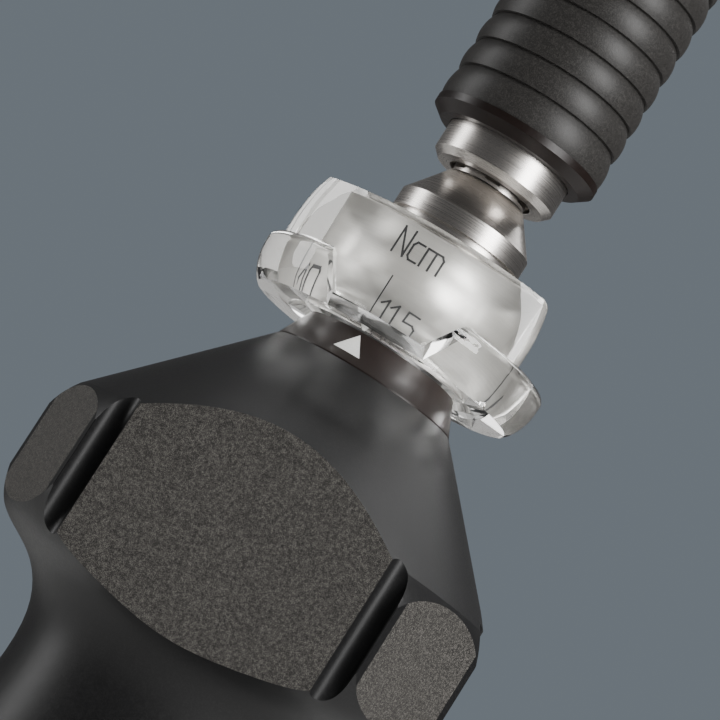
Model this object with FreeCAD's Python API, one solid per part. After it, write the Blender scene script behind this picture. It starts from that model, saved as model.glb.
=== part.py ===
"""Adjustable torque screwdriver with a clear setting ring and a quick-change bit chuck.

Millimetres. The tool stands on its rear cap, +Z along its axis, bit chuck at the top.
The middle of the first broad handle flat and of the first reading window face -Y.
"""
import FreeCAD, Part
import math
import os

V = FreeCAD.Vector
AXIS = V(0, 0, 1)
ORIGIN = V(0, 0, 0)

# ---------------------------------------------------------------- driving sizes
total_len = 145.0          # rear cap face to chuck mouth
cap_h = 13.0               # free-turning rear cap
cap_r = 12.3
grip_r = 15.2              # widest radius of the front bulge
cone_len = 12.4            # widest ring of the bulge to the neck
bulge_len = 12.2           # waist to the widest ring of the bulge
neck_r = 6.0               # small end of the front cone
waist_r = 9.3              # narrow part behind the front bulge
swell_r = 14.6             # widest radius of the rear part
broad_cut = 4.05           # depth of the three broad flats, under grip_r
small_cut = 1.0            # depth of the three small flats, under grip_r
pad_t = 0.8                # thickness of the soft pads
broad_pad_half = 8.3
small_pad_half = 4.1
flute_r = 0.8              # flutes that part the pads
band_t = 4.2               # rear soft band
band_inset = 9.0           # the band's rear edge, from the handle's rear face
band_front = 27.9          # the band's front edge, from the waist

ring_h = 7.4               # clear setting ring
ring_drop = 0.85           # its top, under the barrel's top
ring_skirt = 0.7           # its foot, under the barrel's foot
ring_corner_r = 9.05       # its three corners
ring_face_r = 6.75         # middle of its three bowed faces
petal_r = 9.5              # its three finger petals
ring_twist = -5.0          # degrees, corners against petals
barrel_r = 4.33            # scale barrel
neck_ring_h = 2.1
neck_ring_top_r = 4.98
neck_gap = 0.6             # neck ring to barrel
index_angle = -10.5        # degrees from the first window's middle

nose_len = 6.15            # barrel's top to the sleeve
spindle_r = 1.9
collar_r = 4.08
sleeve_r = 5.55            # chuck's outer sleeve
sleeve_len = 17.2
mouth_stand = 1.6          # chuck mouth past the sleeve
rib_pitch = 1.88
rib_depth = 0.3
bit_bore_r = 2.03          # takes a 4 mm round bit shank
bit_bore_len = 14.0

# ---------------------------------------------------------------- fits
run_fit = 0.05             # radial, turning or sliding pieces
face_gap = 0.05            # axial, between faces that turn past each other
sleeve_fit = 0.06
cap_gap = 0.3

# ---------------------------------------------------------------- heights along the axis
mouth_z = total_len
sleeve_z = mouth_z - mouth_stand - sleeve_len
nose_z = sleeve_z - nose_len         # also the barrel's top
ring_top_z = nose_z - ring_drop
ring_bot_z = ring_top_z - ring_h
barrel_bot_z = ring_bot_z + ring_skirt
neck_z = barrel_bot_z - neck_gap - neck_ring_h
bulge_z = neck_z - cone_len          # widest ring of the front bulge
waist_z = bulge_z - bulge_len
rear_z = cap_h + cap_gap

os.makedirs("parts", exist_ok=True)


# ---------------------------------------------------------------- helpers
def save(name, shape):
    """Write one node; loose solids of the same kind go in as one compound."""
    if isinstance(shape, (list, tuple)):
        shape = Part.makeCompound(list(shape))
    shape.exportStep("parts/%s.step" % name)


def turned(*path):
    """Solid of revolution about the tool's axis, from (r, z) points joined by lines.
    ("arc", through, end) is an arc and ("curve", [points]) a smooth curve from the last point."""
    edges, here = [], None
    start = path[0]
    here = start
    for step in path[1:]:
        if step[0] == "curve":
            spline = Part.BSplineCurve()
            spline.interpolate([V(p[0], 0, p[1]) for p in (here,) + tuple(step[1])])
            edges.append(spline.toShape())
            here = step[1][-1]
        elif step[0] == "arc":
            mid, end = step[1], step[2]
            edges.append(Part.Arc(V(here[0], 0, here[1]), V(mid[0], 0, mid[1]),
                                  V(end[0], 0, end[1])).toShape())
            here = end
        else:
            edges.append(Part.makeLine(V(here[0], 0, here[1]), V(step[0], 0, step[1])))
            here = step
    edges.append(Part.makeLine(V(here[0], 0, here[1]), V(start[0], 0, start[1])))
    face = Part.Face(Part.Wire(edges))
    solid = face.revolve(ORIGIN, AXIS, 360)
    if solid.Volume < 0:
        solid.reverse()
    return solid


def tube(r_in, r_out, z0, z1, chamfer=0.0):
    """Plain ring, or a disc when r_in is zero, with its outer edges broken."""
    c = chamfer
    if c:
        return turned((r_in, z0), (r_out - c, z0), (r_out, z0 + c), (r_out, z1 - c),
                      (r_out - c, z1), (r_in, z1))
    return turned((r_in, z0), (r_out, z0), (r_out, z1), (r_in, z1))


def about(shape, degrees):
    copy = shape.copy()
    copy.rotate(ORIGIN, AXIS, degrees)
    return copy


def thirds(shape, offset=0.0):
    return [about(shape, offset + 120 * k) for k in range(3)]


def facing(degrees, r, z):
    """Point at radius r, measured round from -Y towards +X."""
    a = math.radians(degrees)
    return V(r * math.sin(a), -r * math.cos(a), z)


def coil(r_mean, wire_r, z0, z1, turns):
    """Round-wire compression spring with its wire centres from z0 to z1."""
    helix = Part.makeHelix((z1 - z0) / turns, z1 - z0, r_mean)
    helix.translate(V(0, 0, z0))
    ring = Part.Wire([Part.makeCircle(wire_r, V(r_mean, 0, z0), V(0, 1, 0))])
    return Part.Wire(helix.Edges).makePipeShell([ring], True, True)


def balls(count, circle_r, ball_r, z, start=0.0):
    return [Part.makeSphere(ball_r, facing(start + 360.0 * k / count, circle_r, z))
            for k in range(count)]


# ---------------------------------------------------------------- handle
broad_flat = grip_r - broad_cut      # axis to the flats
small_flat = grip_r - small_cut
cone_z = bulge_z + 3.6
flat_z = waist_z + 2.5               # rear end of the flats' cuts
housing_r = 7.8
housing_bore = 7.0
housing_z = bulge_z - 34.0           # floor of the steel housing
shoulder_z = neck_z - 4.6            # under side of the core's neck
journal_r = 3.9



def swell(share):
    """Height of a point of the rear swell, as a share of its length."""
    return rear_z + share * (waist_z - rear_z)


core_blank = turned(
    (0, rear_z), (cap_r - 0.7, rear_z), (cap_r - 0.2, rear_z + 0.5),
    ("curve", [(swell_r - 1.3, swell(0.153)), (swell_r - 0.4, swell(0.320)), (swell_r, swell(0.487)),
               (swell_r - 0.4, swell(0.640)), (swell_r - 1.9, swell(0.786)),
               (waist_r + 1.2, swell(0.903)), (waist_r, waist_z),
               (waist_r + 0.6, waist_z + 4.2), (waist_r + 1.65, waist_z + 5.6),
               (waist_r + 3.2, waist_z + 6.6), (grip_r - 1.2, bulge_z - 4.6),
               (grip_r - 0.35, bulge_z - 2.9), (grip_r, bulge_z),
               (grip_r - 0.35, bulge_z + 2.0), (grip_r - 1.15, cone_z)]),
    (neck_r, neck_z), (0, neck_z))


def flat_cutter(distance):
    return Part.makeBox(4 * grip_r, 2 * grip_r, neck_z - flat_z, V(-2 * grip_r, -distance - 2 * grip_r, flat_z))


def flat_pad(distance, half):
    """Soft pad let into one flat: its outline is the flat's own curved ends, less the sides."""
    sheet = Part.makePlane(2 * half, neck_z - flat_z, V(-half, -distance, flat_z), V(0, -1, 0), V(1, 0, 0))
    sheet.translate(V(0, 0, flat_z - sheet.BoundBox.ZMin))
    outline = sheet.common(core_blank).Faces[0]
    return outline.extrude(V(0, pad_t, 0))


broad_pads = thirds(flat_pad(broad_flat, broad_pad_half))
small_pads = thirds(flat_pad(small_flat, small_pad_half), 60)

# the ridge where a broad flat meets a small one
ridge = math.atan((small_flat / broad_flat - 0.5) / math.sin(math.radians(60)))
ridge_x = broad_flat * math.tan(ridge)
flutes = []
for k in range(3):
    for side in (-1, 1):
        rod = Part.makeCylinder(flute_r, neck_z - waist_z, V(side * (ridge_x - flute_r - 0.05),
                                                             -broad_flat - 0.1, waist_z + 1.0))
        flutes.append(about(rod, 120 * k))

# rear soft band, let into the rear swell between two steps
rear_band = core_blank.common(tube(swell_r - band_t, swell_r + 1, rear_z + band_inset, waist_z - band_front))

core = core_blank.cut(thirds(flat_cutter(broad_flat)) + thirds(flat_cutter(small_flat), 60))
core = core.cut(flutes).cut(broad_pads + small_pads).cut(rear_band)
core = core.cut([
    tube(0, housing_r, housing_z, shoulder_z),            # room for the steel housing
    tube(0, journal_r + 0.9, shoulder_z - 1, neck_z + 1),  # neck bush
    tube(0, 2.5, rear_z - 1, rear_z + 12.0)])             # cap screw
save("handle_core", core)
save("broad_pads", broad_pads)
save("small_pads", small_pads)
save("rear_band", rear_band)

# ---------------------------------------------------------------- rear cap and its screw
cap_screw_r = 2.5
plug_r = 4.3
cap = turned((0, 0), (cap_r - 3.1, 0), ("arc", (cap_r - 1.1, 1.1), (cap_r - 0.2, 3.2)), (cap_r, 6.0),
             (cap_r - 0.2, cap_h), (0, cap_h))
cap = cap.cut([tube(0, plug_r, -1, 1.9), tube(0, plug_r + 0.1, 1.8, 2.2),
               tube(0, plug_r + run_fit, 2.0, 5.5), tube(0, cap_screw_r + run_fit, 5, cap_h + 1)])
cap_plug = tube(0, plug_r, 0.15, 1.9)
cap_screw = turned((0, 2.3), (4.2, 2.3), (4.2, 5.4), (cap_screw_r, 5.4), (cap_screw_r, rear_z + 12.0),
                   (0, rear_z + 12.0))
slot = Part.makeBox(10, 0.9, 1.1, V(-5, -0.45, 2.0))
save("rear_cap", cap)
save("cap_plug", cap_plug)
save("cap_screw", cap_screw.cut(slot))
save("cap_washer", tube(cap_screw_r + run_fit, 8.0, cap_h + face_gap, rear_z))

# ---------------------------------------------------------------- neck ring and index mark
nr0, nr1 = neck_z, neck_z + neck_ring_h
nr_slope = (neck_r - 0.12 - neck_ring_top_r) / (neck_ring_h - 0.1)
neck_ring = turned((journal_r + 0.9, nr0), (neck_r - 0.06, nr0), (neck_r - 0.06, nr0 + 0.1),
                   (neck_ring_top_r, nr1), (journal_r + 0.45, nr1), (journal_r + 0.45, nr1 - 0.4),
                   (journal_r + 0.9, nr1 - 0.4))
mark_skin = turned((neck_r - 0.06 - 0.15, nr0), (neck_r - 0.06, nr0), (neck_r - 0.06, nr0 + 0.1),
                   (neck_ring_top_r, nr1), (neck_ring_top_r - 0.15, nr1))
tri = [V(0, -3, nr1 - 0.2), V(-0.9, -3, nr0 + 0.6), V(0.9, -3, nr0 + 0.6)]
prism = Part.Face(Part.makePolygon(tri + [tri[0]])).extrude(V(0, -5, 0))
index_mark = about(mark_skin.common(prism), index_angle)
save("neck_ring", neck_ring.cut(index_mark))
save("index_mark", index_mark)

# ---------------------------------------------------------------- clear setting ring
shelf_z = ring_top_z - 4.4           # where the petals stand out from the upper tier
rim_z = ring_bot_z + 0.7             # top of the rim that runs on below the reading windows


def bowed_triangle(corner_r, face_r, z):
    """Three outward-bowed sides; the corners lie between the reading windows."""
    sides = []
    for k in range(3):
        mid = 120 * k + ring_twist
        sides.append(Part.Arc(facing(mid - 60, corner_r, z), facing(mid, face_r, z),
                              facing(mid + 60, corner_r, z)).toShape())
    return Part.Wire(sides)


tier = Part.makeLoft([
    bowed_triangle(ring_corner_r - 0.15, ring_face_r - 0.04, ring_bot_z),
    bowed_triangle(ring_corner_r, ring_face_r, shelf_z),
    bowed_triangle(ring_corner_r - 0.05, ring_face_r + 0.02, shelf_z + 2.3),
    bowed_triangle(ring_corner_r - 0.60, ring_face_r - 0.25, ring_top_z)], True, False)
crown = turned((0, ring_bot_z - 1), (12, ring_bot_z - 1), (12, ring_top_z - 0.5),
               (ring_face_r - 0.4, ring_top_z), (0, ring_top_z))
tier = tier.common(crown)

petals = turned((barrel_r, ring_bot_z), (petal_r - 0.9, ring_bot_z), (petal_r - 0.65, ring_bot_z + 0.25),
                ("arc", (petal_r - 0.1, ring_bot_z + 1.5), (petal_r - 0.02, shelf_z - 0.65)),
                ("arc", (petal_r - 0.03, shelf_z - 0.3), (petal_r - 0.22, shelf_z - 0.05)),
                (petal_r - 0.8, shelf_z + 0.2), (barrel_r, shelf_z + 0.2))


def window_cutter():
    """Trapezium notch, wide at the shelf and narrow at the rim."""
    top_half, low_half = 4.6, 3.0
    z1 = shelf_z + 0.25
    pts = [V(-low_half, 0, rim_z), V(low_half, 0, rim_z), V(top_half, 0, z1), V(-top_half, 0, z1)]
    face = Part.Face(Part.makePolygon(pts + [pts[0]]))
    face.translate(V(0, -4.6, 0))
    return face.extrude(V(0, -8, 0))


petals = petals.cut(thirds(window_cutter()))
ring = tier.fuse(petals).removeSplitter()
step_r = 5.7                         # room for the neck ring under the barrel
ring = ring.cut([tube(0, barrel_r, ring_bot_z - 1, ring_top_z + 1),
                 turned((0, ring_bot_z - 1), (step_r + 0.8, ring_bot_z - 1), (step_r + 0.8, ring_bot_z),
                        (step_r, ring_bot_z + 0.6), (step_r, barrel_bot_z + 0.7),
                        (0, barrel_bot_z + 0.7)),
                 turned((0, ring_top_z - 0.55), (barrel_r, ring_top_z - 0.55),
                        (barrel_r + 0.75, ring_top_z + 0.2), (0, ring_top_z + 0.2))])
save("setting_ring", ring)

# ---------------------------------------------------------------- scale barrel, nose, screw
barrel_bore = 3.4
barrel = tube(barrel_bore, barrel_r, barrel_bot_z, nose_z - 0.9)
# the nose: flange over the barrel, then a dome up to the chuck
nose = turned(
    (barrel_bore, nose_z - 0.9), (barrel_r - 0.25, nose_z - 0.9), (barrel_r - 0.25, nose_z),
    (barrel_r + 0.02, nose_z), (barrel_r + 0.02, nose_z + 1.2),
    ("arc", (3.6, nose_z + 2.2), (2.62, nose_z + 3.55)), (2.5 - 0.05, nose_z + 3.6),
    (2.1, nose_z + 3.6), (2.1, nose_z + 2.9), (2.9, nose_z + 2.9), (2.9, nose_z + 0.4),
    (barrel_bore, nose_z + 0.4))
nose = nose.cut(tube(0, 2.9, nose_z - 2, nose_z + 2.9))
nose_bush = tube(spindle_r + run_fit, 2.9, nose_z + 0.6, nose_z + 2.9)
save("scale_barrel", barrel)
save("nose_cap", nose)
save("nose_bush", nose_bush)

screw_r = 4.0
screw_bore = 2.3
screw_bot_z = shoulder_z - 12.0
screw_flange = 5.6
thrust_t = 0.6
screw = turned(
    (screw_bore, screw_bot_z), (screw_r - 0.3, screw_bot_z), (screw_r, screw_bot_z + 0.3),
    (screw_r, shoulder_z - 2.1), (screw_flange, shoulder_z - 2.1),
    (screw_flange, shoulder_z - thrust_t - face_gap), (journal_r, shoulder_z - thrust_t - face_gap),
    (journal_r, barrel_bot_z), (barrel_bore, barrel_bot_z), (barrel_bore, nose_z + 0.4),
    (screw_bore, nose_z + 0.4))
neck_bush = tube(journal_r + run_fit, journal_r + 0.9, shoulder_z, neck_z + neck_ring_h - 0.4)
save("setting_screw", screw)
save("neck_bush", neck_bush)
save("thrust_washer", tube(journal_r + 0.1, 6.6, shoulder_z - thrust_t, shoulder_z, 0.05))

# ---------------------------------------------------------------- housing, nut, spring
housing = tube(0, housing_r, housing_z, shoulder_z).cut([
    tube(0, housing_bore, housing_z + 2.5, shoulder_z + 1),
    tube(0, spindle_r + 0.9, housing_z - 1, housing_z + 3)])
key_w, key_in = 1.2, 6.2


def key(z0, z1):
    return Part.makeBox(key_w, housing_bore - key_in + 0.4, z1 - z0, V(-key_w / 2, -housing_bore - 0.4, z0))


plate_z = housing_z + 13.0           # top of the pressure plate
plate_t = 2.0
key_z0, key_z1 = plate_z - plate_t, shoulder_z - 3.0
guide_keys = [about(key(key_z0, key_z1), 90 + 180 * k) for k in range(2)]
housing = housing.cut(guide_keys)
save("housing", housing)
save("guide_keys", guide_keys)


def slotted(disc, z0, z1):
    slot_box = Part.makeBox(key_w + 2 * run_fit, 3, z1 - z0 + 2,
                            V(-key_w / 2 - run_fit, -key_in + run_fit - 3, z0 - 1))
    slot_box.translate(V(0, run_fit, 0))
    return disc.cut([about(slot_box, 90 + 180 * k) for k in range(2)])


nut_h = 3.0
nut_z = screw_bot_z + 0.6            # rest: the strongest setting, spring pressed most
nut = slotted(tube(screw_r + run_fit, housing_bore - run_fit, nut_z, nut_z + nut_h, 0.2), nut_z,
              nut_z + nut_h)
save("spring_nut", nut)

plate = slotted(tube(spindle_r + 0.3, housing_bore - run_fit, plate_z - plate_t, plate_z),
                plate_z - plate_t, plate_z)
save("pressure_plate", plate)
# disc springs, stacked edge to edge between the plate and the nut
disc_in, disc_out, disc_spring_t = screw_r + 0.3, key_in - 0.1, 0.5
disc_count = 18
disc_pitch = (nut_z - plate_z) / disc_count
dish = disc_pitch - disc_spring_t - 0.02
torque_spring = []
for k in range(disc_count):
    z = plate_z + k * disc_pitch + 0.01
    z_in, z_out = (z, z + dish) if k % 2 else (z + dish, z)
    torque_spring.append(turned((disc_in, z_in), (disc_out, z_out), (disc_out, z_out + disc_spring_t),
                                (disc_in, z_in + disc_spring_t)))
save("torque_spring", torque_spring)

# ---------------------------------------------------------------- clutch and thrust bearing
disc_t = 2.4
disc_z1 = plate_z - plate_t - face_gap
clutch = tube(spindle_r, 6.5, disc_z1 - disc_t, disc_z1, 0.2)
save("clutch_disc", clutch)
ball_r, ball_circle = 0.75, 4.4
race_mid = disc_z1 - disc_t - 1.2 - 0.35
groove = Part.makeTorus(ball_circle, ball_r + 0.03, V(0, 0, race_mid))
upper_race = tube(spindle_r, 6.2, race_mid + 0.35, disc_z1 - disc_t).cut(groove)
lower_race = tube(spindle_r + 0.3, 6.2, housing_z + 2.5, race_mid - 0.35).cut(groove)
save("upper_race", upper_race)
save("lower_race", lower_race)
save("bearing_balls", balls(12, ball_circle, ball_r, race_mid))
rear_bush = tube(spindle_r + run_fit, spindle_r + 0.9, housing_z, housing_z + 2.5)
save("rear_bush", rear_bush)

# ---------------------------------------------------------------- spindle and chuck
chuck_r = 3.6
socket_z = sleeve_z + 1.6
crown_z0, crown_z1 = nose_z + 3.65, nose_z + 4.75
spindle = turned((0, housing_z + 0.2), (spindle_r - 0.2, housing_z + 0.2), (spindle_r, housing_z + 0.4),
                 (spindle_r, crown_z0), (2.46, crown_z0), (2.46, crown_z1), (spindle_r, crown_z1),
                 (spindle_r, socket_z), (0, socket_z))
teeth = [about(Part.makeBox(1.0, 1.0, 0.55, V(-0.5, -2.95, crown_z0 + 0.18)), 60 * k + 8)
         for k in range(6)]
spindle = spindle.cut(teeth)
save("output_spindle", spindle)

collar_z0 = sleeve_z - 2.17
body = turned(
    (0, socket_z), (0, mouth_z), (chuck_r - 0.6, mouth_z), (chuck_r, mouth_z - 0.6),
    (chuck_r, sleeve_z), (collar_r, sleeve_z), (collar_r, collar_z0 + 0.42),
    (collar_r - 0.42, collar_z0), (2.8, collar_z0), (2.8, crown_z1 + 0.02),
    (spindle_r, crown_z1 + 0.02), (spindle_r, socket_z))
lead_in = 0.4
bore_z0 = mouth_z - bit_bore_len
body = body.cut([tube(0, bit_bore_r, bore_z0, mouth_z + 1),
                 turned((0, mouth_z - lead_in), (bit_bore_r, mouth_z - lead_in),
                        (bit_bore_r + lead_in, mouth_z), (0, mouth_z))])
lock_ball_r = 0.74
lock_circle = bit_bore_r + lock_ball_r + 0.03
lock_z = mouth_z - 7.0
ports = []
for k in range(2):
    port = Part.makeCylinder(lock_ball_r + 0.04, 6, V(0, 0, lock_z), V(0, -1, 0))
    ports.append(about(port, 90 + 180 * k))
clip_z = mouth_z - 2.1
clip_t = 0.5
body = body.cut(ports).cut(tube(chuck_r - 0.35, chuck_r + 1, clip_z, clip_z + clip_t))
save("chuck_body", body)
save("locking_balls", balls(2, lock_circle, lock_ball_r, lock_z, 90))

gap_slot = Part.makeBox(1.6, 6, 2, V(-0.8, -6, clip_z - 0.5))
save("retaining_ring", tube(chuck_r - 0.35, chuck_r + 0.75, clip_z, clip_z + clip_t).cut(gap_slot))

bush_z0, bush_z1 = sleeve_z + 2.7, clip_z - 0.05
bush_r = sleeve_r - 1.05
spring_room = chuck_r + 0.62
shoulder = bush_z0 + 4.6
relief_z0 = lock_z + 1.0
bush = tube(chuck_r + sleeve_fit, bush_r, bush_z0, bush_z1, 0.1).cut([
    tube(0, spring_room, bush_z0 - 1, shoulder),
    tube(0, chuck_r + 0.5, relief_z0 + 0.4, relief_z0 + 2.2)])
wire_r = 0.22
snap_z = (bush_z0 + bush_z1) / 2 + 3.2
snap_path = Part.makeTorus(bush_r + 0.03, wire_r, V(0, 0, snap_z))
snap_room = Part.makeTorus(bush_r + 0.03, wire_r + 0.03, V(0, 0, snap_z))
bush = bush.cut(snap_path)
save("release_bush", bush)
snap_gap = Part.makeBox(2.0, 8, 2, V(-1.0, 0, snap_z - 1))
save("snap_ring", snap_path.cut(snap_gap))
spring_r = (chuck_r + spring_room) / 2
save("sleeve_spring", coil(spring_r, 0.2, sleeve_z + 0.25, shoulder - 0.25, 6))

end_h = 1.03
sleeve_top = sleeve_z + sleeve_len
rib_z0 = sleeve_z + end_h
first_rib = 2.06
rib_count = 7
profile = [(bush_r + sleeve_fit, rib_z0), (sleeve_r - 0.1, rib_z0)]
z = rib_z0
for k in range(rib_count):
    step = first_rib if k == 0 else rib_pitch
    low = sleeve_r - rib_depth
    if k:
        profile.append((sleeve_r - 0.1, z + 0.04))
    profile.append(("arc", (sleeve_r, z + 0.45 * step), (low, z + step)))
    z += step
profile += [(sleeve_r - 0.1, z + 0.04), (sleeve_r - 0.02, z + 0.4), (sleeve_r - 0.02, sleeve_top - 0.5),
            (sleeve_r - 0.5, sleeve_top), (bush_r + sleeve_fit, sleeve_top)]
grip_sleeve = turned(*profile).cut(snap_room)
save("grip_sleeve", grip_sleeve)
sleeve_end = turned((collar_r + sleeve_fit, sleeve_z), (sleeve_r - 0.72, sleeve_z),
                    (sleeve_r, sleeve_z + 0.56), (sleeve_r, rib_z0), (collar_r + sleeve_fit, rib_z0))
save("sleeve_end", sleeve_end)
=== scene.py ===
import bpy
import math
import bmesh
from mathutils import Matrix, Vector


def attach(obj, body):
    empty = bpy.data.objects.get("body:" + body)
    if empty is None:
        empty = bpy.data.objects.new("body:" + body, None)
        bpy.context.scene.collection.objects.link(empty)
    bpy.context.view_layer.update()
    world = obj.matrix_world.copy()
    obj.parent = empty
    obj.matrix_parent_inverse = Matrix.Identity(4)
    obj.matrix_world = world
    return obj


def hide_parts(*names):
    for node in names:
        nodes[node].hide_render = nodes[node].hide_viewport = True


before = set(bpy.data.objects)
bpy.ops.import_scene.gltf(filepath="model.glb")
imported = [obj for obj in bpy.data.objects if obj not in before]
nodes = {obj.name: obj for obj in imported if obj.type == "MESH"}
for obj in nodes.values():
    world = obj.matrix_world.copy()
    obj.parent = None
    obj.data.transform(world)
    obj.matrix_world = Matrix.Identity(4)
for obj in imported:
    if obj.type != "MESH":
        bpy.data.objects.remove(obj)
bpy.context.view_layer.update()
MM = 0.001


# ---------------------------------------------------------------- shader groups
def socket(group, name, kind, io, value=None, low=None, high=None):
    s = group.interface.new_socket(name=name, in_out=io, socket_type=kind)
    if value is not None:
        s.default_value = value
    if low is not None:
        s.min_value, s.max_value = low, high
    return s


class Wiring:
    """Adds nodes to one tree and joins them by socket name."""

    def __init__(self, tree):
        self.tree = tree

    def add(self, kind, **values):
        node = self.tree.nodes.new(kind)
        for key, value in values.items():
            setattr(node, key, value)
        return node

    def join(self, source, target):
        self.tree.links.new(source, target)
        return target

    def maths(self, op, a, b=None, c=None):
        node = self.add("ShaderNodeMath", operation=op)
        for i, v in enumerate((a, b, c)):
            if v is None:
                continue
            if isinstance(v, (int, float)):
                node.inputs[i].default_value = v
            else:
                self.join(v, node.inputs[i])
        return node.outputs[0]

    def noise(self, vector, scale, detail=2.0, rough=0.5):
        node = self.add("ShaderNodeTexNoise")
        node.inputs["Scale"].default_value = scale
        node.inputs["Detail"].default_value = detail
        node.inputs["Roughness"].default_value = rough
        self.join(vector, node.inputs["Vector"])
        return node.outputs["Fac"]

    def span(self, value, low, high, out_low=0.0, out_high=1.0):
        node = self.add("ShaderNodeMapRange", clamp=True)
        self.join(value, node.inputs["Value"])
        for name, v in (("From Min", low), ("From Max", high), ("To Min", out_low), ("To Max", out_high)):
            if isinstance(v, (int, float)):
                node.inputs[name].default_value = v
            else:
                self.join(v, node.inputs[name])
        return node.outputs["Result"]

    def blend(self, fac, a, b):
        node = self.add("ShaderNodeMix", data_type="RGBA")
        self.join(fac, node.inputs["Factor"])
        for name, v in (("A", a), ("B", b)):
            target = [s for s in node.inputs if s.name == name and s.type == "RGBA"][0]
            if isinstance(v, (tuple, list)):
                target.default_value = tuple(v) + (1.0,) * (4 - len(v))
            else:
                self.join(v, target)
        return [s for s in node.outputs if s.type == "RGBA"][0]


def new_group(name, inputs, outputs):
    group = bpy.data.node_groups.new(name, "ShaderNodeTree")
    for args in inputs:
        socket(group, args[0], args[1], "INPUT", *args[2:])
    for args in outputs:
        socket(group, args[0], args[1], "OUTPUT")
    w = Wiring(group)
    return group, w, w.add("NodeGroupInput"), w.add("NodeGroupOutput")


def build_grain():
    """Moulded grain: fine bumps and small light flecks. Cell is the grain's size in mm."""
    group, w, gin, gout = new_group(
        "moulded grain",
        [("Cell", "NodeSocketFloat", 0.12, 0.01, 5.0), ("Fleck", "NodeSocketFloat", 0.5, 0.0, 1.0),
         ("Dark", "NodeSocketColor", (0.02, 0.02, 0.02, 1)),
         ("Light", "NodeSocketColor", (0.1, 0.1, 0.1, 1)),
         ("Smooth", "NodeSocketFloat", 0.4, 0.0, 1.0), ("Coarse", "NodeSocketFloat", 0.6, 0.0, 1.0)],
        [("Color", "NodeSocketColor"), ("Roughness", "NodeSocketFloat"), ("Height", "NodeSocketFloat")])
    coord = w.add("ShaderNodeTexCoord").outputs["Object"]
    scale = w.maths("DIVIDE", 1000.0, gin.outputs["Cell"])
    grow = w.add("ShaderNodeVectorMath", operation="SCALE")
    w.join(coord, grow.inputs[0])
    w.join(scale, grow.inputs["Scale"])
    fine = w.noise(grow.outputs[0], 1.0, 2.0, 0.6)
    broad = w.noise(grow.outputs[0], 0.33, 2.0, 0.6)
    mixed = w.maths("MULTIPLY_ADD", fine, 0.7, w.maths("MULTIPLY", broad, 0.3))
    fleck = w.span(mixed, 0.46, 0.62)
    w.join(w.blend(w.maths("MULTIPLY", fleck, gin.outputs["Fleck"]), gin.outputs["Dark"],
                   gin.outputs["Light"]), gout.inputs["Color"])
    w.join(w.span(mixed, 0.35, 0.65, gin.outputs["Smooth"], gin.outputs["Coarse"]),
           gout.inputs["Roughness"])
    w.join(mixed, gout.inputs["Height"])
    return group


def build_turning():
    """Lathe lines round the tool's axis, with slow streaks along them."""
    group, w, gin, gout = new_group(
        "lathe lines",
        [("Pitch", "NodeSocketFloat", 0.05, 0.005, 5.0), ("Smooth", "NodeSocketFloat", 0.2, 0.0, 1.0),
         ("Coarse", "NodeSocketFloat", 0.4, 0.0, 1.0), ("Metal", "NodeSocketColor", (0.6, 0.6, 0.6, 1)),
         ("Shade", "NodeSocketColor", (0.4, 0.4, 0.4, 1))],
        [("Color", "NodeSocketColor"), ("Roughness", "NodeSocketFloat"), ("Height", "NodeSocketFloat")])
    coord = w.add("ShaderNodeTexCoord").outputs["Object"]
    parts = w.add("ShaderNodeSeparateXYZ")
    w.join(coord, parts.inputs[0])
    x, y, z = parts.outputs
    r = w.maths("SQRT", w.maths("ADD", w.maths("MULTIPLY", x, x), w.maths("MULTIPLY", y, y)))
    turn = w.maths("ARCTAN2", y, x)
    per_mm = w.maths("DIVIDE", 1000.0, gin.outputs["Pitch"])
    place = w.add("ShaderNodeCombineXYZ")
    w.join(w.maths("MULTIPLY", r, per_mm), place.inputs["X"])
    w.join(w.maths("MULTIPLY", z, per_mm), place.inputs["Y"])
    w.join(w.maths("MULTIPLY", turn, 0.6), place.inputs["Z"])
    lines = w.noise(place.outputs[0], 1.0, 3.0, 0.65)
    w.join(w.blend(w.span(lines, 0.35, 0.7), gin.outputs["Shade"], gin.outputs["Metal"]),
           gout.inputs["Color"])
    w.join(w.span(lines, 0.3, 0.7, gin.outputs["Smooth"], gin.outputs["Coarse"]),
           gout.inputs["Roughness"])
    w.join(lines, gout.inputs["Height"])
    return group


GRAIN = build_grain()
TURNING = build_turning()


# ---------------------------------------------------------------- materials
def fresh(name):
    m = bpy.data.materials.new(name)
    m.use_nodes = True
    m.node_tree.nodes.clear()
    w = Wiring(m.node_tree)
    shader = w.add("ShaderNodeBsdfPrincipled")
    out = w.add("ShaderNodeOutputMaterial")
    w.join(shader.outputs[0], out.inputs["Surface"])
    return m, w, shader


def grained(name, dark, light, cell, fleck, smooth, coarse, lift):
    """Moulded plastic or rubber; cell and lift are its grain's size and height in mm."""
    m, w, shader = fresh(name)
    g = w.add("ShaderNodeGroup", node_tree=GRAIN)
    for key, value in (("Cell", cell), ("Fleck", fleck), ("Dark", tuple(dark) + (1,)),
                       ("Light", tuple(light) + (1,)), ("Smooth", smooth), ("Coarse", coarse)):
        g.inputs[key].default_value = value
    bump = w.add("ShaderNodeBump")
    bump.inputs["Strength"].default_value = 1.0
    bump.inputs["Distance"].default_value = lift * MM
    w.join(g.outputs["Height"], bump.inputs["Height"])
    w.join(g.outputs["Color"], shader.inputs["Base Color"])
    w.join(g.outputs["Roughness"], shader.inputs["Roughness"])
    w.join(bump.outputs[0], shader.inputs["Normal"])
    shader.inputs["Specular IOR Level"].default_value = 0.25
    return m


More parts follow.
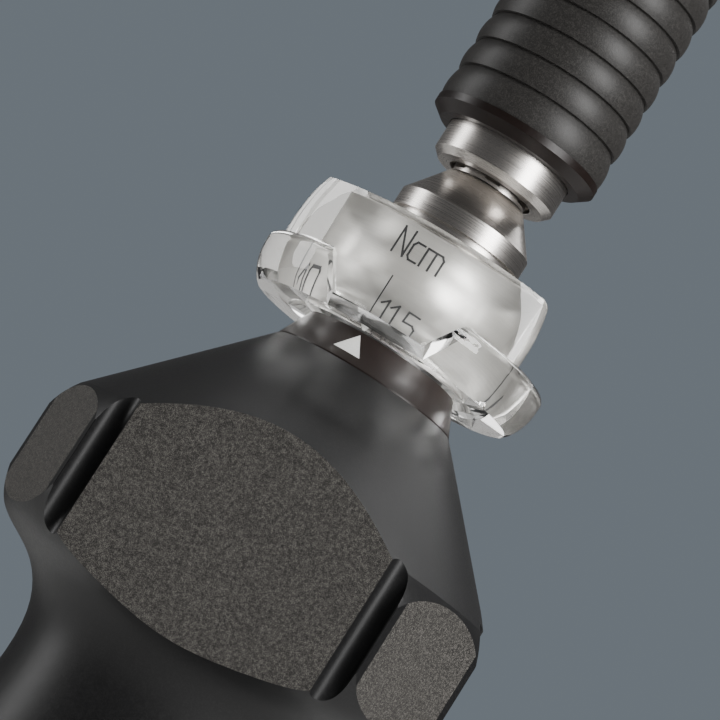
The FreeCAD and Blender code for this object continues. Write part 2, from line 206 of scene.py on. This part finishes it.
def turned_metal(name, metal, shade, pitch, smooth, coarse, lift):
    """Metal with lathe lines; pitch and lift are in mm."""
    m, w, shader = fresh(name)
    g = w.add("ShaderNodeGroup", node_tree=TURNING)
    for key, value in (("Pitch", pitch), ("Smooth", smooth), ("Coarse", coarse),
                       ("Metal", tuple(metal) + (1,)), ("Shade", tuple(shade) + (1,))):
        g.inputs[key].default_value = value
    bump = w.add("ShaderNodeBump")
    bump.inputs["Strength"].default_value = 1.0
    bump.inputs["Distance"].default_value = lift * MM
    w.join(g.outputs["Height"], bump.inputs["Height"])
    w.join(g.outputs["Color"], shader.inputs["Base Color"])
    w.join(g.outputs["Roughness"], shader.inputs["Roughness"])
    w.join(bump.outputs[0], shader.inputs["Normal"])
    shader.inputs["Metallic"].default_value = 1.0
    return m


def clear_plastic(name):
    m, w, shader = fresh(name)
    shader.inputs["Base Color"].default_value = (0.985, 0.985, 0.975, 1)
    shader.inputs["Roughness"].default_value = 0.03
    shader.inputs["Transmission Weight"].default_value = 1.0
    shader.inputs["IOR"].default_value = 1.49
    # lamps light what lies inside the ring
    see_through = w.add("ShaderNodeBsdfTransparent")
    mix = w.add("ShaderNodeMixShader")
    w.join(w.add("ShaderNodeLightPath").outputs["Is Shadow Ray"], mix.inputs[0])
    w.join(shader.outputs[0], mix.inputs[1])
    w.join(see_through.outputs[0], mix.inputs[2])
    w.join(mix.outputs[0], m.node_tree.nodes["Material Output"].inputs["Surface"])
    return m


def printed(name, colour):
    m, w, shader = fresh(name)
    shader.inputs["Base Color"].default_value = tuple(colour) + (1,)
    shader.inputs["Roughness"].default_value = 0.55
    return m


satin_black = grained("satin black handle", (0.0075, 0.0075, 0.0078), (0.014, 0.014, 0.014), 0.09, 0.6,
                      0.36, 0.46, 0.004)
speckled_pad = grained("speckled soft pad", (0.014, 0.013, 0.012), (0.14, 0.132, 0.12), 0.05, 0.9,
                       0.5, 0.7, 0.02)
charcoal = grained("charcoal sleeve", (0.020, 0.019, 0.018), (0.05, 0.047, 0.044), 0.07, 0.7,
                   0.36, 0.5, 0.012)
warm_black = grained("glossy warm black", (0.010, 0.0065, 0.0055), (0.012, 0.008, 0.007), 0.3, 0.4,
                     0.3, 0.38, 0.0005)
light_mark = grained("light grey mark", (0.52, 0.52, 0.5), (0.6, 0.6, 0.58), 0.1, 0.5, 0.45, 0.55, 0.001)
clear = clear_plastic("clear ring plastic")
barrel_metal = turned_metal("satin barrel", (0.60, 0.59, 0.56), (0.53, 0.52, 0.50), 0.03, 0.3, 0.4, 0.0002)
nose_metal = turned_metal("turned steel", (0.64, 0.61, 0.58), (0.56, 0.53, 0.50), 0.02, 0.24, 0.34, 0.0002)
dark_metal = turned_metal("darkened steel", (0.12, 0.12, 0.12), (0.06, 0.06, 0.06), 0.05, 0.3, 0.45, 0.001)
plain_steel = turned_metal("plain steel", (0.55, 0.54, 0.53), (0.42, 0.42, 0.41), 0.06, 0.25, 0.4, 0.001)
bronze = turned_metal("bearing bronze", (0.62, 0.42, 0.2), (0.5, 0.34, 0.17), 0.06, 0.3, 0.45, 0.001)
ball_steel = turned_metal("bright balls", (0.75, 0.75, 0.75), (0.7, 0.7, 0.7), 0.5, 0.08, 0.12, 0.0)
ink = printed("scale ink", (0.012, 0.012, 0.013))

FINISHES = {
    "handle_core": satin_black, "rear_cap": satin_black, "cap_plug": warm_black,
    "broad_pads": speckled_pad, "small_pads": speckled_pad, "rear_band": speckled_pad,
    "neck_ring": warm_black, "sleeve_end": warm_black, "index_mark": light_mark,
    "setting_ring": clear, "scale_barrel": barrel_metal, "nose_cap": nose_metal,
    "chuck_body": nose_metal, "output_spindle": nose_metal, "grip_sleeve": charcoal,
    "setting_screw": dark_metal, "spring_nut": bronze, "nose_bush": bronze, "neck_bush": bronze,
    "rear_bush": bronze, "thrust_washer": bronze, "bearing_balls": ball_steel,
    "locking_balls": ball_steel, "cap_washer": warm_black}
for name, obj in nodes.items():
    obj.data.materials.clear()
    obj.data.materials.append(FINISHES.get(name, plain_steel))


# ---------------------------------------------------------------- clear ring
BARREL_R = 4.33 * MM
SCALE_R = 5.6 * MM                   # the scale's own sleeve, moulded into the ring
SCALE_FOOT, SCALE_TOP = 112.52 * MM, 118.75 * MM
INK_R = SCALE_R + 0.008 * MM
BORE_TAKE_IN = 0.2 * MM              # so that no air shows between ring and barrel
SHARP = math.radians(24)


def place_mesh(name, bm, look):
    """New piece that turns with the setting ring."""
    mesh = bpy.data.meshes.new(name)
    bm.to_mesh(mesh)
    bm.free()
    mesh.materials.append(look)
    obj = bpy.data.objects.new(name, mesh)
    bpy.context.scene.collection.objects.link(obj)
    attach(obj, "adjuster")
    return obj


def build_clear_ring():
    """The ring as moulded round its barrel, with no air between them."""
    bm = bmesh.new()
    bm.from_mesh(nodes["setting_ring"].data)
    bmesh.ops.remove_doubles(bm, verts=bm.verts, dist=1e-7)
    for v in bm.verts:
        r = math.hypot(v.co.x, v.co.y)
        if abs(r - BARREL_R) < 0.03 * MM:
            v.co.x *= (BARREL_R - BORE_TAKE_IN) / r
            v.co.y *= (BARREL_R - BORE_TAKE_IN) / r
    for f in bm.faces:
        f.smooth = True
    for e in bm.edges:
        e.smooth = len(e.link_faces) == 2 and e.calc_face_angle(0) < SHARP
    obj = place_mesh("clear_ring", bm, clear)
    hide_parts("setting_ring")


build_clear_ring()


def build_scale_sleeve():
    """Thin satin sleeve in the ring that carries the printed scale round the barrel."""
    bm = bmesh.new()
    around = 128
    inner = BARREL_R - 0.1 * MM
    rings = []
    for r, z in ((inner, SCALE_FOOT), (SCALE_R, SCALE_FOOT), (SCALE_R, SCALE_TOP),
                 (inner, SCALE_TOP + 0.25 * MM)):
        angles = [2 * math.pi * i / around for i in range(around)]
        rings.append([bm.verts.new((r * math.cos(a), r * math.sin(a), z)) for a in angles])
    for a, b in zip(rings, rings[1:] + rings[:1]):
        for i in range(around):
            j = (i + 1) % around
            bm.faces.new((a[i], a[j], b[j], b[i])).smooth = True
    for e in bm.edges:
        e.smooth = e.calc_face_angle(0) < math.radians(30)
    place_mesh("scale_sleeve", bm, barrel_metal)


build_scale_sleeve()


# ---------------------------------------------------------------- scale printing
# strokes of each character on a grid one unit high
LETTERS = {
    "0": (0.56, [[(.08, 0), (.48, 0), (.56, .1), (.56, .9), (.48, 1), (.08, 1), (0, .9), (0, .1),
                  (.08, 0)]]),
    "1": (0.30, [[(0, .78), (.28, 1), (.28, 0)]]),
    "4": (0.60, [[(.44, 0), (.44, 1), (0, .28), (.6, .28)]]),
    "5": (0.56, [[(.54, 1), (.03, 1), (0, .56), (.42, .58), (.56, .46), (.56, .12), (.44, 0), (0, 0)]]),
    "7": (0.54, [[(0, 1), (.54, 1), (.14, 0)]]),
    "8": (0.56, [[(.08, .53), (.03, .6), (.03, .92), (.1, 1), (.46, 1), (.53, .92), (.53, .6), (.48, .53),
                  (.08, .53), (0, .44), (0, .1), (.08, 0), (.48, 0), (.56, .1), (.56, .44), (.48, .53)]]),
    ".": (0.08, [[(.02, 0), (.02, .07)]]),
    "N": (0.56, [[(0, 0), (0, 1), (.56, 0), (.56, 1)]]),
    "c": (0.46, [[(.48, .7), (.12, .7), (0, .56), (0, .13), (.12, 0), (.48, 0)]]),
    "m": (0.86, [[(0, 0), (0, .7), (.72, .7), (.86, .57), (.86, 0)], [(.43, .7), (.43, 0)]]),
}


def ribbon(bm, points, width, centre_deg, z0):
    """Flat stroke laid on the barrel. Points are in mm: along the arc, then up."""
    half = width / 2
    for (x0, y0), (x1, y1) in zip(points, points[1:]):
        length = math.hypot(x1 - x0, y1 - y0)
        if length < 1e-6:
            continue
        ux, uy = (x1 - x0) / length, (y1 - y0) / length
        steps = max(1, int(abs(x1 - x0) / 0.25) + 1)
        rows = []
        for i in range(steps + 1):
            t = -half + (length + 2 * half) * i / steps
            row = []
            for side in (-half, half):
                px, py = x0 + ux * t - uy * side, y0 + uy * t + ux * side
                a = math.radians(centre_deg) + px * MM / INK_R
                row.append(bm.verts.new((INK_R * math.sin(a), -INK_R * math.cos(a), z0 + py * MM)))
            rows.append(row)
        for a, b in zip(rows, rows[1:]):
            bm.faces.new((a[0], b[0], b[1], a[1]))


def write(bm, text, height, width, centre_deg, start, z0, gap=0.16, narrow=0.8):
    x = start
    for ch in text:
        advance, strokes = LETTERS[ch]
        for stroke in strokes:
            ribbon(bm, [(x + px * height * narrow, py * height) for px, py in stroke],
                   width, centre_deg, z0)
        x += (advance + gap) * height * narrow


def build_scale():
    """Setting marks at every 1.5 Ncm down from 11.5, and the unit above the highest."""
    rest_deg = -10.5                 # the highest setting stands over the index mark
    step_deg = 54
    mark_z, number_z, unit_z = 113.0 * MM, 112.72 * MM, 116.75 * MM
    mark_h, number_h, unit_h = 2.5, 1.45, 1.62
    bm = bmesh.new()
    for i, label in enumerate(("11.5", "10", "8.5", "7", "5.5", "4")):
        here = rest_deg - step_deg * i
        ribbon(bm, [(0, 0), (0, mark_h)], 0.085, here, mark_z)
        write(bm, label, number_h, 0.12, here, 0.3, number_z, narrow=0.95)
    write(bm, "Ncm", unit_h, 0.13, rest_deg, -0.9, unit_z, gap=0.2)
    place_mesh("scale_print", bm, ink)


build_scale()


# ---------------------------------------------------------------- floor, light, camera
def area_light(name, place, aim, width, height, power):
    data = bpy.data.lights.new(name, "AREA")
    data.shape = "RECTANGLE"
    data.size, data.size_y = width, height
    data.energy = power
    obj = bpy.data.objects.new(name, data)
    bpy.context.scene.collection.objects.link(obj)
    obj.location = place
    obj.rotation_euler = (Vector(aim) - Vector(place)).to_track_quat("-Z", "Y").to_euler()


bpy.ops.mesh.primitive_circle_add(vertices=96, radius=0.34, fill_type="NGON", location=(0, 0, 0))
floor = bpy.context.object
floor.name = "floor"
floor_look, _, floor_shader = fresh("pale floor")
floor_shader.inputs["Base Color"].default_value = (0.72, 0.72, 0.71, 1)
floor_shader.inputs["Roughness"].default_value = 0.6
floor.data.materials.append(floor_look)

world = bpy.data.worlds.new("studio")
bpy.context.scene.world = world
world.use_nodes = True
sky = Wiring(world.node_tree)
rays = sky.add("ShaderNodeLightPath").outputs
surround = sky.blend(rays["Is Transmission Ray"], (0.075, 0.075, 0.077), (0.85, 0.84, 0.82))
backdrop = sky.blend(rays["Is Camera Ray"], surround, (0.147, 0.171, 0.195))
sky.join(backdrop, world.node_tree.nodes["Background"].inputs["Color"])
world.node_tree.nodes["Background"].inputs["Strength"].default_value = 1.0

RING = (0, 0, 0.115)                 # the lamps aim at the setting ring
area_light("key", (0.28, -0.20, 0.26), RING, 0.16, 0.30, 2.6)
area_light("left rim", (-0.30, -0.02, 0.16), RING, 0.10, 0.30, 0.6)
area_light("top fill", (0.0, 0.12, 0.36), RING, 0.25, 0.25, 0.8)

camera_data = bpy.data.cameras.new("camera")
camera = bpy.data.objects.new("camera", camera_data)
bpy.context.scene.collection.objects.link(camera)
bpy.context.scene.camera = camera
camera_data.lens = 153.8
camera_data.clip_start, camera_data.clip_end = 0.005, 10
right = Vector((0.84336, 0.0686, 0.53296))
up = Vector((-0.51243, -0.19587, 0.83609))
back = right.cross(up).normalized()
up = back.cross(right).normalized()
turn = Matrix((right, up, back)).transposed()
camera.matrix_world = Matrix.Translation((0.028417, -0.177938, 0.087469)) @ turn.to_4x4()
